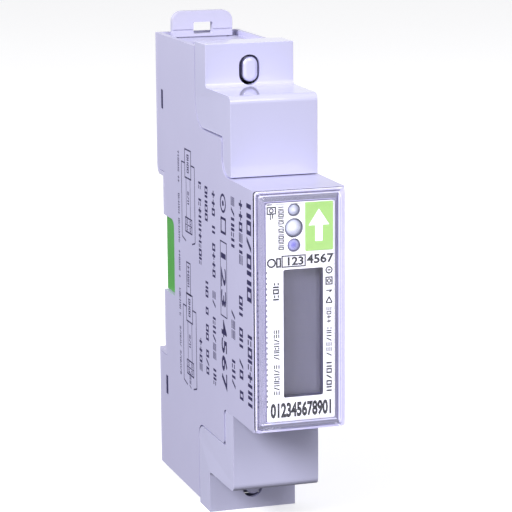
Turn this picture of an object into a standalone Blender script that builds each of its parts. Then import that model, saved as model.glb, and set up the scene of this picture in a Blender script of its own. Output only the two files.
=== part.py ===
"""Single-module energy meter for a 35 mm DIN rail.

Design frame, in millimetres: x to the right, "depth" forwards from the rear plane,
"height" up from the middle of the 45 mm front. Everything hangs from one empty, which
puts the scene's origin on the rail seat, at the rail's centre line, facing -Y.
"""
import math

import bmesh
import bpy
from mathutils import Matrix, Vector

MM = 0.001

# ---------------------------------------------------------------- driving sizes (mm)
MODULE_W = 17.6           # one 17.5 mm module with its side ribs
HOUSING_HALF = 45.0       # the housing is 90 mm tall
COVER_HALF = 46.0         # the terminal covers stand 1 mm proud of it
LEDGE_HALF = 37.8         # height of the shoulder that steps forward
STEP_HALF = 29.5          # height where the housing steps forward under the covers
FRONT_HALF = 22.5         # the 45 mm front of the installation cover
DECK_DEPTH = 28.0         # front of the terminal decks
COVER_DEPTH = 35.3        # front of a cover's low part
STEP_DEPTH = 45.2         # front of the housing's middle step
SHOULDER_DEPTH = 50.2     # front of a cover's shoulder
FRONT_DEPTH = 63.9        # front of the housing
WINDOW_DEPTH = 65.5       # front of the clear window
WALL = 1.2                # moulded wall
EDGE_R = 0.4              # moulded edge rounding
GAP = 0.2                 # running gap between two mouldings
TOP_GAP = 0.42            # the covers stand a little further off at their outer ends
COVER_DRAFT = 0.3         # a cover's sides draw in this much towards its front

RAIL_DEPTH = 4.3          # depth of the rail recess
RECESS_TOP = 16.1         # upper end of the recess
RECESS_BOTTOM = -20.2     # lower end of the recess
RAIL_CENTRE = -2.0        # the rail's centre line below the front's middle
RIM = 0.9                 # visible edge of the rear base
CLIP_TRAVEL = 3.0         # how far the rail clip lifts

TAB_HALF = 6.3            # half width of the clip's pull tab
TAB_TOP = 49.4
TAB_BACK, TAB_FRONT = 2.5, 4.2

PAD_BOTTOM, PAD_TOP = -7.2, 8.1
PAD_FRONT = 11.9          # the pad's cheeks reach this depth
PAD_INSET = 0.7           # the cheeks lie this far below the side faces

TERMINAL_X = 3.9          # the main terminals stand this far from the middle
TERMINAL_Z = 37.2
WIRE_DEPTH = 16.0         # centre line of the main wire entries
BAR_BACK, BAR_FRONT = 18.7, 19.9
SCREW_R = 2.0
SCREW_HEAD_R = 2.3
AUX_X = (2.2, 5.6)        # the two auxiliary poles
PARTITION = (30.4, 31.5)  # the wall between a terminal chamber and the electronics
POST_X, POST_Z = 0.3, 40.9                # the seal posts' centres
AUX_WIRE_DEPTH = 18.0

LABEL = (-6.45, 6.45, -20.4, 20.1)        # x0, x1, z0, z1 of the front label
DISPLAY = (-3.2, 4.55, -16.2, 7.8)        # the display's opening in it
LABEL_BACK, LABEL_FRONT = 64.0, 64.35
POCKET_FRONT = 64.7
OPTICS_X = -1.1
OPTICS = {"pulse_led": (18.7, 1.1), "optical_lens": (15.4, 1.68), "infrared_led": (12.2, 1.15)}
BOARD_FRONT = 59.6

HALF_W = MODULE_W / 2
INNER_X = HALF_W - WALL
DECK_TOP = HOUSING_HALF - 1.0             # the decks are 1 mm below the side walls

# ---------------------------------------------------------------- an empty scene
for leftover in list(bpy.data.objects):
    bpy.data.objects.remove(leftover, do_unlink=True)


def new_collection(name):
    collection = bpy.data.collections.new(name)
    bpy.context.scene.collection.children.link(collection)
    return collection


PARTS = new_collection("energy_meter")
CUTTERS = new_collection("cutters")

ORIGIN = bpy.data.objects.new("rail_seat_origin", None)
ORIGIN.location = (0, RAIL_DEPTH * MM, -RAIL_CENTRE * MM)
PARTS.objects.link(ORIGIN)


# ---------------------------------------------------------------- materials
def material(name, colour, roughness=0.35, metallic=0.0, alpha=1.0):
    made = bpy.data.materials.new(name)
    made.use_nodes = True
    shader = made.node_tree.nodes["Principled BSDF"]
    shader.inputs["Base Color"].default_value = (*colour, 1.0)
    shader.inputs["Roughness"].default_value = roughness
    shader.inputs["Metallic"].default_value = metallic
    shader.inputs["Alpha"].default_value = alpha
    made.diffuse_color = (*colour, alpha)
    return made


HOUSING_GREY = material("light_grey_plastic", (0.62, 0.60, 0.76), 0.25)
BASE_GREY = material("rear_grey_plastic", (0.60, 0.59, 0.66), 0.4)
COVER_GREY = material("cover_plastic", (0.66, 0.65, 0.82), 0.2)
CLIP_GREY = material("clip_plastic", (0.55, 0.54, 0.72), 0.3)
PAD_GREEN = material("green_plastic", (0.05, 0.32, 0.10), 0.4)
CLEAR = material("clear_plastic", (0.85, 0.85, 0.92), 0.05, alpha=0.3)
LABEL_WHITE = material("label_film", (0.88, 0.88, 0.92), 0.4)
STICKER_GREEN = material("green_sticker", (0.42, 0.80, 0.20), 0.4)
DISPLAY_GREY = material("display_glass", (0.20, 0.20, 0.27), 0.1)
DARK = material("black_plastic", (0.02, 0.02, 0.02), 0.45)
RUBBER = material("conductive_rubber", (0.04, 0.04, 0.05), 0.8)
BOARD_GREEN = material("circuit_board", (0.02, 0.16, 0.06), 0.4)
COPPER = material("copper", (0.75, 0.35, 0.20), 0.3, 1.0)
MANGANIN = material("manganin", (0.55, 0.42, 0.33), 0.35, 1.0)
STEEL = material("zinc_plated_steel", (0.60, 0.60, 0.62), 0.3, 1.0)
NICKEL = material("nickel_plated_brass", (0.66, 0.60, 0.48), 0.3, 1.0)
CAPACITOR_BLUE = material("varistor_blue", (0.03, 0.12, 0.45), 0.4)
CAPACITOR_YELLOW = material("film_capacitor", (0.75, 0.55, 0.08), 0.4)
SLEEVE_BLACK = material("capacitor_sleeve", (0.03, 0.03, 0.06), 0.35)
TERMINAL_GREEN = material("terminal_block", (0.05, 0.30, 0.12), 0.45)


# ---------------------------------------------------------------- shape helpers
def rounded(corners, steps=4):
    """Turn corners (u, v, radius) into outline points, with an arc at each rounded corner."""
    points = []
    for index, (u, v, radius) in enumerate(corners):
        corner = Vector((u, v))
        if radius == 0:
            points.append(corner)
            continue
        before = (Vector(corners[index - 1][:2]) - corner).normalized()
        after = (Vector(corners[(index + 1) % len(corners)][:2]) - corner).normalized()
        half = before.angle(after) / 2
        start = corner + before * (radius / math.tan(half))
        centre = corner + (before + after).normalized() * (radius / math.sin(half))
        sweep = (math.pi - 2 * half) * (1 if before.cross(after) < 0 else -1)
        for step in range(steps + 1):
            turn = Matrix.Rotation(sweep * step / steps, 2)
            points.append(centre + turn @ (start - centre))
    return points


def mirrored(upper, lower_radii=None):
    """Close an upper half outline with its mirror image, which may have radii of its own."""
    lower = [[u, -v, r] for u, v, r in upper]
    for index, radius in (lower_radii or {}).items():
        lower[index][2] = radius
    return list(upper) + [tuple(corner) for corner in reversed(lower)]


def rectangle(u0, u1, v0, v1, radius=0.0):
    return [(u0, v0, radius), (u1, v0, radius), (u1, v1, radius), (u0, v1, radius)]


# How an outline's (u, v, thickness) directions lie in the design frame, one to a column
SIDE_VIEW = Matrix(((0, 0, 1), (-1, 0, 0), (0, 1, 0)))      # u is depth, v is height
FRONT_VIEW = Matrix(((1, 0, 0), (0, 0, -1), (0, 1, 0)))     # u is x, v is height
TOP_VIEW = Matrix(((1, 0, 0), (0, -1, 0), (0, 0, 1)))       # u is x, v is depth


def extrusion(name, corners, view, low, high, steps=4):
    """A flat outline, filled on both sides and extruded from low to high across its view."""
    curve = bpy.data.curves.new(name, "CURVE")
    curve.dimensions = "2D"
    curve.fill_mode = "BOTH"
    curve.extrude = (high - low) / 2 * MM
    points = rounded(corners, steps)
    spline = curve.splines.new("POLY")
    spline.points.add(len(points) - 1)
    for target, point in zip(spline.points, points):
        target.co = (point.x * MM, point.y * MM, 0, 1)
    spline.use_cyclic_u = True
    flat = bpy.data.objects.new(name + "_outline", curve)
    PARTS.objects.link(flat)
    evaluated = flat.evaluated_get(bpy.context.evaluated_depsgraph_get())
    mesh = bpy.data.meshes.new_from_object(evaluated)
    bpy.data.objects.remove(flat, do_unlink=True)
    middle = view.col[2] * ((low + high) / 2 * MM)
    mesh.transform(Matrix.Translation(middle) @ view.to_4x4())
    weld(mesh)
    return part_from(name, mesh)


def weld(mesh):
    shape = bmesh.new()
    shape.from_mesh(mesh)
    bmesh.ops.remove_doubles(shape, verts=shape.verts, dist=1e-6)
    bmesh.ops.recalc_face_normals(shape, faces=shape.faces)
    shape.to_mesh(mesh)
    shape.free()


def part_from(name, mesh):
    mesh.name = name
    made = bpy.data.objects.new(name, mesh)
    PARTS.objects.link(made)
    made.parent = ORIGIN
    return made


def block(name, x0, x1, depth0, depth1, z0, z1):
    shape = bmesh.new()
    bmesh.ops.create_cube(shape, size=1.0)
    size = Matrix.Diagonal(((x1 - x0) * MM, (depth1 - depth0) * MM, (z1 - z0) * MM, 1))
    centre = Vector(((x0 + x1) / 2, -(depth0 + depth1) / 2, (z0 + z1) / 2)) * MM
    bmesh.ops.transform(shape, matrix=Matrix.Translation(centre) @ size, verts=shape.verts)
    mesh = bpy.data.meshes.new(name)
    shape.to_mesh(mesh)
    shape.free()
    return part_from(name, mesh)


def rod(name, x, z, radius, depth0, depth1, sides=24):
    """A cylinder that runs front to back."""
    shape = bmesh.new()
    bmesh.ops.create_cone(shape, cap_ends=True, segments=sides, radius1=radius * MM,
                          radius2=radius * MM, depth=(depth1 - depth0) * MM)
    centre = Vector((x, -(depth0 + depth1) / 2, z)) * MM
    turn = Matrix.Translation(centre) @ Matrix.Rotation(math.pi / 2, 4, "X")
    bmesh.ops.transform(shape, matrix=turn, verts=shape.verts)
    mesh = bpy.data.meshes.new(name)
    shape.to_mesh(mesh)
    shape.free()
    return part_from(name, mesh)


def turned(name, profile, x, z, steps=24):
    """A turned piece on a front-to-back axis: profile is (radius, depth), front to back."""
    mesh = bpy.data.meshes.new(name)
    points = [(radius * MM, 0, depth * MM) for radius, depth in profile]
    mesh.from_pydata(points, [(i, i + 1) for i in range(len(points) - 1)], [])
    made = part_from(name, mesh)
    made.location = (x * MM, 0, z * MM)
    made.rotation_euler = (math.pi / 2, 0, 0)
    screw = made.modifiers.new("turning", "SCREW")
    screw.steps = screw.render_steps = steps
    screw.use_merge_vertices = True
    screw.merge_threshold = 1e-6
    return made


def round_edges(made, radius=EDGE_R, segments=2, angle=35):
    bevel = made.modifiers.new("edges", "BEVEL")
    bevel.width = radius * MM
    bevel.segments = segments
    bevel.limit_method = "ANGLE"
    bevel.angle_limit = math.radians(angle)
    return made


def boolean(made, tool, operation):
    change = made.modifiers.new(tool.name, "BOOLEAN")
    change.operation = operation
    change.solver = "EXACT"
    change.object = tool
    PARTS.objects.unlink(tool)
    CUTTERS.objects.link(tool)
    tool.hide_render = True
    tool.display_type = "WIRE"
    return made


def cut(made, *tools):
    for tool in tools:
        boolean(made, tool, "DIFFERENCE")
    return made


def add(made, *tools):
    for tool in tools:
        boolean(made, tool, "UNION")
    return made


def finish(made, finish_material, smooth_angle=35):
    made.data.materials.clear()
    made.data.materials.append(finish_material)
    made.data.shade_smooth()
    made.data.set_sharp_from_angle(angle=math.radians(smooth_angle))
    return made


def origin_at(made, x, depth, z):
    """Move a piece's origin to a point, such as one on its joint's axis."""
    point = Vector((x, -depth, z)) * MM
    made.data.transform(Matrix.Translation(-point))
    made.location = point
    return made


def signs():
    """The upper end, then the lower one."""
    return (("upper", 1), ("lower", -1))


# ---------------------------------------------------------------- front housing
def housing_outline():
    back = RIM + 0.15
    upper = [(back, HOUSING_HALF, 0), (DECK_DEPTH, HOUSING_HALF, 0),
             (DECK_DEPTH, STEP_HALF, 5.5), (STEP_DEPTH, STEP_HALF, 0.8),
             (STEP_DEPTH, FRONT_HALF, 3.5), (FRONT_DEPTH, FRONT_HALF, 0)]
    corners = mirrored(upper, {2: 2.8, 4: 1.2})
    floor = RAIL_DEPTH + back
    return corners + [(back, RECESS_BOTTOM - back, 0), (floor, RECESS_BOTTOM - back, 0),
                      (floor, RECESS_TOP + back, 0), (back, RECESS_TOP + back, 0)]


def cavity_outline():
    deck = DECK_TOP - WALL
    upper = [(-2, HOUSING_HALF + 5, 0), (5.6, HOUSING_HALF + 5, 0), (5.6, deck, 0),
             (DECK_DEPTH - WALL, deck, 0), (DECK_DEPTH - WALL, STEP_HALF - WALL, 4.3),
             (STEP_DEPTH - WALL, STEP_HALF - WALL, 0), (STEP_DEPTH - WALL, FRONT_HALF - WALL, 2.3),
             (FRONT_DEPTH - 1.5, FRONT_HALF - WALL, 0)]
    return mirrored(upper, {4: 1.6, 6: 0})


def wire_entry(name, x, side, half_x, half_depth, depth):
    outline = rectangle(x - half_x, x + half_x, depth - half_depth, depth + half_depth, 1.2)
    low, high = sorted((side * (DECK_TOP - 2), side * (DECK_TOP + 2)))
    return extrusion(name, outline, TOP_VIEW, low, high, 3)


def main_terminals():
    """Name, x and end of each main terminal."""
    return (("input", -TERMINAL_X, -1), ("output", TERMINAL_X, -1), ("neutral", -TERMINAL_X, 1))


def front_housing():
    made = extrusion("front_housing", housing_outline(), SIDE_VIEW, -HALF_W, HALF_W, 6)
    round_edges(made, segments=3)
    cut(made, extrusion("housing_cavity", cavity_outline(), SIDE_VIEW, -INNER_X, INNER_X, 6))
    for end, side in signs():
        z0, z1 = sorted((side * DECK_TOP, side * (HOUSING_HALF + 2)))
        cut(made, block(f"{end}_deck_pocket", 1 - HALF_W, HALF_W - 1, -1, DECK_DEPTH - 1, z0, z1))
        z0, z1 = sorted(side * height for height in PARTITION)
        wall = block(f"{end}_partition", -INNER_X - 0.4, INNER_X + 0.4, 8, DECK_DEPTH - 0.6, z0, z1)
        add(made, wall)
        z0, z1 = sorted((side * (PARTITION[1] - 0.3), side * (DECK_TOP - 0.6)))
        add(made, block(f"{end}_divider", -0.35, 0.35, 8, DECK_DEPTH - 0.6, z0, z1))
        cut(made, rod(f"{end}_post_hole", POST_X, side * POST_Z, 1.05, DECK_DEPTH - 3, DECK_DEPTH + 1, 16))
    for name, x, side in main_terminals():
        z = side * TERMINAL_Z
        z0, z1 = sorted((side * 29, side * 33))
        cut(made, wire_entry(f"{name}_wire_entry", x, side, 2.9, 3.0, WIRE_DEPTH))
        cut(made, rod(f"{name}_screw_hole", x, z, 2.7, DECK_DEPTH - 3, DECK_DEPTH + 1, 24))
        cut(made, block(f"{name}_bar_slot", x - 2.6, x + 2.6, BAR_BACK - 0.3, BAR_FRONT + 0.3, z0, z1))
    for index, x in enumerate(AUX_X):
        cut(made, wire_entry(f"auxiliary_entry_{index + 1}", x, 1, 1.3, 1.6, AUX_WIRE_DEPTH),
            rod(f"auxiliary_hole_{index + 1}", x, TERMINAL_Z, 1.5, DECK_DEPTH - 3, DECK_DEPTH + 1, 20))
    for end, z0, z1, depth0, depth1 in (("upper", 29.9, 33.8, 3.6, 5.1), ("lower", -29.4, -25.4, 4.4, 6.0)):
        cut(made, block(f"{end}_snap_windows", -HALF_W - 1, HALF_W + 1, depth0, depth1, z0, z1))
    notch = [(0, PAD_BOTTOM - 0.15, 0), (PAD_FRONT + 0.15, PAD_BOTTOM - 0.15, 0),
             (PAD_FRONT + 0.15, PAD_TOP + 0.15, 1.6), (0, PAD_TOP + 0.15, 0)]
    cut(made, extrusion("pad_notches", notch, SIDE_VIEW, -HALF_W - 1, HALF_W + 1))
    x0, x1, z0, z1 = DISPLAY
    cut(made, extrusion("display_opening", rectangle(x0 - 0.3, x1 + 0.3, z0 - 0.3, z1 + 0.3, 0.5),
                        FRONT_VIEW, FRONT_DEPTH - 3, FRONT_DEPTH + 1, 2))
    for name, (z, radius) in OPTICS.items():
        cut(made, rod(f"{name}_hole", OPTICS_X, z, radius + 0.2, FRONT_DEPTH - 3, FRONT_DEPTH + 1))
    return finish(made, HOUSING_GREY)


# ---------------------------------------------------------------- rear base
def rim_outline():
    """The edge that shows round the back of the housing."""
    floor = RAIL_DEPTH + RIM
    return [(0, HOUSING_HALF, 0), (RIM, HOUSING_HALF, 0), (RIM, RECESS_TOP + RIM, 0),
            (floor, RECESS_TOP + RIM, 0), (floor, RECESS_BOTTOM - RIM, 0),
            (RIM, RECESS_BOTTOM - RIM, 0), (RIM, -HOUSING_HALF, 0), (0, -HOUSING_HALF, 0),
            (0, RECESS_BOTTOM, 0.7), (RAIL_DEPTH, RECESS_BOTTOM, 0),
            (RAIL_DEPTH, RECESS_TOP, 0), (0, RECESS_TOP, 1.8)]


def plug_outline():
    """The narrower body that fills the housing's open back."""
    top = DECK_TOP
    return [(0.5, top, 0), (5.4, top, 0), (5.4, 18.6, 0), (7.6, 18.6, 0), (7.6, -22.6, 0),
            (3.0, -22.6, 0), (3.0, WALL - top, 0), (5.4, WALL - top, 0), (5.4, -top, 0), (0.5, -top, 0),
            (0.5, RECESS_BOTTOM - 0.5, 0), (RAIL_DEPTH + 0.5, RECESS_BOTTOM - 0.5, 0),
            (RAIL_DEPTH + 0.5, RECESS_TOP + 0.5, 0), (0.5, RECESS_TOP + 0.5, 0)]


CLIP_HALF = 5.2           # half width of the clip's strip
CLIP_BACK, CLIP_FRONT = 1.9, 3.9
SPRING_X = 1.5            # half width of the spring's window in the clip
SPRING_BOTTOM, SPRING_TOP = 22.0, 35.6


def rear_base():
    made = extrusion("rear_base", rim_outline(), SIDE_VIEW, -HALF_W, HALF_W, 4)
    round_edges(made, 0.25, 2)
    plug_half = INNER_X - GAP
    add(made, extrusion("base_plug", plug_outline(), SIDE_VIEW, -plug_half, plug_half))
    hook = [(1.7, RECESS_BOTTOM - 0.6, 0), (3.05, RECESS_BOTTOM - 0.6, 0),
            (3.05, RECESS_BOTTOM + 1.3, 0.3), (1.7, RECESS_BOTTOM + 1.3, 0.5)]
    add(made, extrusion("fixed_hook", hook, SIDE_VIEW, -6.5, 6.5))
    for end, z, depth in (("upper", 31.85, 5.0), ("lower", -27.4, 6.0)):
        for turn in (-1, 1):
            x0, x1 = sorted((turn * 6.3, turn * (INNER_X - GAP)))
            arm = block(f"{end}_snap_arm_{turn}", x0, x1, 2.5, depth - 0.1, z - 1.6, z + 1.6)
            x0, x1 = sorted((turn * 6.6, turn * (HALF_W - 0.5)))
            nose = block(f"{end}_snap_nose_{turn}", x0, x1, depth - 1.25, depth - 0.75, z - 1.6, z + 1.6)
            add(made, arm, nose)
    cut(made, block("clip_channel", -CLIP_HALF - 0.3, CLIP_HALF + 0.3, CLIP_BACK - 0.3,
                    CLIP_FRONT + 0.3, RECESS_TOP - 4, HOUSING_HALF + 5))
    cut(made, extrusion("back_window", rectangle(-3.4, 3.4, 21.0, 37.0, 0.6),
                        FRONT_VIEW, -1, CLIP_BACK, 2))
    stop = block("spring_stop", -1.1, 1.1, CLIP_FRONT - 1.7, 5.0, SPRING_TOP + 0.2, SPRING_TOP + 2.7)
    add(made, stop)
    cut(made, block("pad_seat", -INNER_X - 2, INNER_X + 2, RAIL_DEPTH - 1, RAIL_DEPTH + 1.8,
                    PAD_BOTTOM - 0.15, PAD_TOP + 0.15))
    for turn in (-1, 1):
        x0, x1 = sorted((turn * 6.9, turn * (HALF_W + 2)))
        cut(made, block(f"pad_cheek_seat_{turn}", x0, x1, RAIL_DEPTH - 1, PAD_FRONT + 1,
                        PAD_BOTTOM - 0.15, PAD_TOP + 0.15))
    for index in range(3):
        z = -26.0 - 5.6 * index
        cut(made, extrusion(f"back_pocket_{index + 1}", rectangle(-5.6, 5.6, z - 4.2, z, 0.6),
                            FRONT_VIEW, -1, 1.8, 2))
    return finish(made, BASE_GREY)


# ---------------------------------------------------------------- rail pad
def rail_pad():
    back = RAIL_DEPTH
    half = HALF_W - PAD_INSET
    made = block("rail_pad", -half, half, back, back + 1.6, PAD_BOTTOM, PAD_TOP)
    for turn in (-1, 1):
        x0, x1 = sorted((turn * 7.1, turn * half))
        cheek = [(back, PAD_BOTTOM, 0), (PAD_FRONT, PAD_BOTTOM, 0), (PAD_FRONT, PAD_TOP, 1.4),
                 (back, PAD_TOP, 0)]
        add(made, extrusion(f"pad_cheek_{turn}", cheek, SIDE_VIEW, x0, x1))
    return finish(made, PAD_GREEN)


# ---------------------------------------------------------------- rail clip and its spring
def rail_clip():
    strip = rectangle(-CLIP_HALF, CLIP_HALF, RECESS_TOP - 1.5, DECK_TOP + 0.55)
    made = extrusion("rail_clip", strip, FRONT_VIEW, CLIP_BACK, CLIP_FRONT)
    outline = [(-TAB_HALF, DECK_TOP + 0.2, 0), (TAB_HALF, DECK_TOP + 0.2, 0),
               (TAB_HALF, TAB_TOP, 2.1), (-TAB_HALF, TAB_TOP, 2.1)]
    tab = extrusion("pull_tab", outline, FRONT_VIEW, TAB_BACK, TAB_FRONT, 6)
    add(made, round_edges(tab, 0.25))
    nose = block("clip_nose_relief", -CLIP_HALF - 1, CLIP_HALF + 1, CLIP_BACK + 1.15, CLIP_FRONT + 1,
                 RECESS_TOP - 3, RECESS_TOP - 0.4)
    crease = block("tab_crease", -TAB_HALF - 1, TAB_HALF + 1, TAB_FRONT - 0.2, TAB_FRONT + 1, 45.4, 45.7)
    slot = rectangle(-1.9, 2.1, 44.75, 47.1, 0.25)
    window = rectangle(-SPRING_X, SPRING_X, SPRING_BOTTOM, SPRING_TOP + CLIP_TRAVEL + 0.1)
    cut(made, nose, crease, extrusion("tab_slot", slot, FRONT_VIEW, CLIP_BACK - 1, TAB_FRONT + 1, 2),
        extrusion("spring_window", window, FRONT_VIEW, CLIP_BACK - 1, CLIP_FRONT + 1))
    return finish(made, CLIP_GREY)


def clip_spring():
    turns, radius, wire = 8, 0.95, 0.18
    per_turn = 9
    z0, z1 = SPRING_BOTTOM + 0.3, SPRING_TOP - 0.1
    curve = bpy.data.curves.new("clip_spring", "CURVE")
    curve.dimensions = "3D"
    curve.bevel_depth = wire * MM
    curve.bevel_resolution = 1
    curve.use_fill_caps = True
    spline = curve.splines.new("POLY")
    count = turns * per_turn
    spline.points.add(count)
    centre = -(CLIP_BACK + CLIP_FRONT) / 2
    for index, target in enumerate(spline.points):
        angle = 2 * math.pi * index / per_turn
        height = z0 + (z1 - z0) * index / count
        target.co = (radius * math.cos(angle) * MM, (centre + radius * math.sin(angle)) * MM,
                     height * MM, 1)
    made = bpy.data.objects.new("clip_spring", curve)
    PARTS.objects.link(made)
    made.parent = ORIGIN
    made.data.materials.append(STEEL)
    return made


# ---------------------------------------------------------------- terminal covers and posts
def cover_outline(side):
    step_r, front_r = (5.3, 3.3) if side > 0 else (2.6, 1.0)
    corners = [(DECK_DEPTH + TOP_GAP, COVER_HALF, 0), (COVER_DEPTH, COVER_HALF, 0),
               (COVER_DEPTH, LEDGE_HALF, 0.8), (SHOULDER_DEPTH, LEDGE_HALF, 1.3),
               (SHOULDER_DEPTH, FRONT_HALF + GAP, 0), (STEP_DEPTH + GAP, FRONT_HALF + GAP, front_r),
               (STEP_DEPTH + GAP, STEP_HALF + 0.3, 0.5), (DECK_DEPTH + GAP, STEP_HALF + 0.3, step_r)]
    return [(u, side * v, r) for u, v, r in corners]


def cover_cavity(side):
    wall = 1.0
    corners = [(DECK_DEPTH - 2, COVER_HALF - wall, 0), (COVER_DEPTH - wall, COVER_HALF - wall, 0),
               (COVER_DEPTH - wall, LEDGE_HALF - wall, 0.8),
               (SHOULDER_DEPTH - wall, LEDGE_HALF - wall, 0.6),
               (SHOULDER_DEPTH - wall, FRONT_HALF + GAP + wall, 0),
               (STEP_DEPTH - 2, FRONT_HALF + GAP + wall, 0), (STEP_DEPTH - 2, STEP_HALF - 2, 0),
               (DECK_DEPTH - 2, STEP_HALF - 2, 0)]
    return [(u, side * v, r) for u, v, r in corners]


def draw_in(made, back, front, amount):
    """Give a moulding's sides the draft that lets it leave its tool."""
    for vertex in made.data.vertices:
        share = (-vertex.co.y / MM - back) / (front - back)
        vertex.co.x -= math.copysign(amount * MM * min(max(share, 0), 1), vertex.co.x)
    return made


def terminal_cover(end, side):
    made = extrusion(f"{end}_terminal_cover", cover_outline(side), SIDE_VIEW, -HALF_W, HALF_W, 6)
    draw_in(made, STEP_DEPTH - 10, SHOULDER_DEPTH, COVER_DRAFT)
    round_edges(made, 0.55, 3)
    cut(made, extrusion(f"{end}_cover_cavity", cover_cavity(side), SIDE_VIEW, 1 - HALF_W, HALF_W - 1))
    z = side * (POST_Z - 0.05)
    hole = rectangle(-2.1, 2.1, z - 2.9, z + 2.9, 2.05)
    cut(made, extrusion(f"{end}_seal_hole", hole, FRONT_VIEW, COVER_DEPTH - 3, COVER_DEPTH + 1, 6))
    return finish(made, COVER_GREY)


def bevelled_front(made, front, rise, inset, half_x, half_z):
    """Carry a plate's front face forwards by rise, drawn in by inset on every side."""
    shape = bmesh.new()
    shape.from_mesh(made.data)
    faces = [face for face in shape.faces if face.calc_center_median().y < (0.01 - front) * MM]
    region = bmesh.ops.extrude_face_region(shape, geom=faces)
    bmesh.ops.delete(shape, geom=faces, context="FACES_ONLY")
    for vertex in (item for item in region["geom"] if isinstance(item, bmesh.types.BMVert)):
        vertex.co.y -= rise * MM
        vertex.co.x *= (half_x - inset) / half_x
        vertex.co.z *= (half_z - inset) / half_z
    shape.to_mesh(made.data)
    shape.free()
    return made


def seal_post(end, side):
    half_x, half_z = 1.5, 2.4
    made = extrusion(f"{end}_seal_post", rectangle(-half_x, half_x, -half_z, half_z, 1.45), FRONT_VIEW,
                     DECK_DEPTH + 0.05, COVER_DEPTH - 0.75, 6)
    front = COVER_DEPTH - 0.75
    for rise, inset in ((0.3, 0.1), (0.2, 0.22), (0.12, 0.35)):
        bevelled_front(made, front, rise, inset, half_x, half_z)
        front, half_x, half_z = front + rise, half_x - inset, half_z - inset
    made.location = (POST_X * MM, 0, side * POST_Z * MM)
    stud = rod(f"{end}_post_stud", POST_X, side * POST_Z, 0.95, DECK_DEPTH - 1.6, DECK_DEPTH + 1, 16)
    add(made, stud)
    return finish(made, COVER_GREY)


# ---------------------------------------------------------------- window, label and display
def window_cover():
    half_x, half_z, rise = HALF_W - 0.1, FRONT_HALF - 0.1, 0.75
    shape = rectangle(-half_x, half_x, -half_z, half_z, 0.6)
    rim_front = WINDOW_DEPTH - rise
    made = extrusion("window_cover", shape, FRONT_VIEW, FRONT_DEPTH + 0.05, rim_front, 3)
    bevelled_front(made, rim_front, rise, 1.2, half_x, half_z)
    x0, x1, z0, z1 = LABEL
    pocket = rectangle(x0 - 0.12, x1 + 0.12, z0 - 0.12, z1 + 0.12, 0.3)
    cut(made, extrusion("window_pocket", pocket, FRONT_VIEW, FRONT_DEPTH - 1, POCKET_FRONT, 2))
    return finish(made, CLEAR)


def label_plate():
    made = extrusion("label_plate", rectangle(*LABEL, 0.25), FRONT_VIEW, LABEL_BACK, LABEL_FRONT, 2)
    cut(made, extrusion("label_display", rectangle(*DISPLAY, 0.4), FRONT_VIEW,
                        LABEL_BACK - 1, LABEL_FRONT + 1, 4))
    for name, (z, radius) in OPTICS.items():
        cut(made, rod(f"label_{name}", OPTICS_X, z, radius + 0.12, LABEL_BACK - 1, LABEL_FRONT + 1))
    return finish(made, LABEL_WHITE)


def arrow_sticker():
    made = extrusion("arrow_sticker", rectangle(1.0, 6.35, 11.0, 20.0, 0.2), FRONT_VIEW,
                     LABEL_FRONT + 0.02, LABEL_FRONT + 0.12, 2)
    return finish(made, STICKER_GREEN)


def display_parts():
    x0, x1, z0, z1 = DISPLAY
    finish(block("lcd_glass", x0 - 1.0, x1 + 1.0, 61.3, 62.1, z0 - 1.4, z1 + 1.4), DISPLAY_GREY)
    finish(block("lcd_holder", x0 - 0.1, x1 + 0.1, 59.8, 61.1, z0 - 1.0, z1 + 1.0), DARK)
    for name, edge in (("zebra_strip_left", x0 - 0.95), ("zebra_strip_right", x1 + 0.35)):
        finish(block(name, edge, edge + 0.6, BOARD_FRONT + 0.1, 61.2, z0, z1), RUBBER)
    finish(block("display_board", -7.2, 7.2, BOARD_FRONT - 1, BOARD_FRONT, -20.6, 20.6), BOARD_GREEN)


def optic(name):
    """A domed light or lens that stands on the display board."""
    z, radius = OPTICS[name]
    tip = POCKET_FRONT - 0.15
    rise = 0.55 * radius
    dome = [(radius * math.sin(math.radians(a)), tip - rise * (1 - math.cos(math.radians(a))))
            for a in range(0, 91, 18)]
    base = BOARD_FRONT + 0.1
    made = turned(name, dome + [(radius, base), (0, base)], OPTICS_X, z, 20)
    return finish(made, CLEAR)


# ---------------------------------------------------------------- boards and components
def main_board():
    upper = [(12.6, 28.0, 0), (42.5, 28.0, 0), (42.5, 20.4, 0), (57.5, 20.4, 0)]
    made = extrusion("main_board", mirrored(upper), SIDE_VIEW, 6.2, 7.3)
    return finish(made, BOARD_GREEN)


def components():
    face = 6.1            # components stand on this side of the main board
    finish(block("board_connector", 3.6, face, 54.6, 58.4, -16, -6), DARK)
    finish(block("microcontroller", 4.7, face, 44, 52, -5, 3), DARK)
    finish(block("metering_chip", 4.9, face, 24, 30, -14, -8), DARK)
    finish(block("crystal", 4.6, face, 45, 50, 7, 9.6), STEEL)
    finish(block("optocoupler", 3.4, face, 24, 29, 20.5, 25), DARK)
    film = block("supply_capacitor", -4.4, face, 22, 39, 7, 15)
    finish(round_edges(film, 0.4, 1), CAPACITOR_YELLOW)
    can = rod("smoothing_capacitor", 2.7, 0.5, 3.2, 28, 40)
    finish(round_edges(can, 0.3, 1), SLEEVE_BLACK)
    disc = rod("varistor", 0, 0, 3.5, -1.8, 1.8)
    disc.rotation_euler = (0, 0, math.pi / 2)
    disc.location = (4.2 * MM, -34.5 * MM, 21.3 * MM)
    finish(round_edges(disc, 0.5, 1), CAPACITOR_BLUE)


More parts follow.
